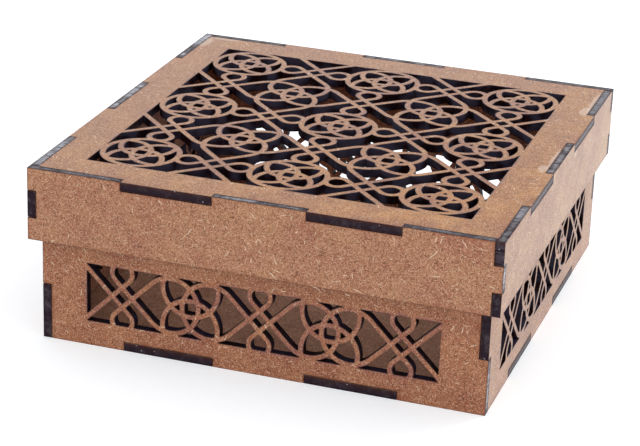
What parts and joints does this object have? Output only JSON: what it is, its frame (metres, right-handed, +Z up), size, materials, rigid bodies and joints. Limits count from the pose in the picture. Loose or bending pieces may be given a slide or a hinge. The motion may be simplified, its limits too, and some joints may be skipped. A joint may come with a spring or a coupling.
{
  "type": "decorative mdf box",
  "caption": "Square finger-jointed keepsake box of thin fibreboard with a lift-off lid, pierced with interlaced fretwork on the lid's top and round the walls.",
  "frame": {"origin": "middle of the box's underside", "axes": "+Z up, +X to the right along the front, +Y to the back"},
  "size_m": [0.1676, 0.1676, 0.064],
  "materials": {
    "box_board": "bare laser-cut MDF, warm brown with pale fibres, cut edges charred nearly black",
    "lid_board": "bare laser-cut MDF, a little paler on top, cut edges charred nearly black"
  },
  "bodies": {
    "box": {"floor_panel": "box_board", "box_front_wall": "box_board", "box_right_wall": "box_board", "box_back_wall": "box_board", "box_left_wall": "box_board"},
    "lid": {"lid_top_panel": "lid_board", "lid_front_wall": "lid_board", "lid_right_wall": "lid_board", "lid_back_wall": "lid_board", "lid_left_wall": "lid_board"}
  },
  "joints": [
    {"name": "lid_lift", "type": "slide", "parent": "box", "child": "lid", "axis": [0, 0, 1], "range_m": [0, 0.1]}
  ]
}
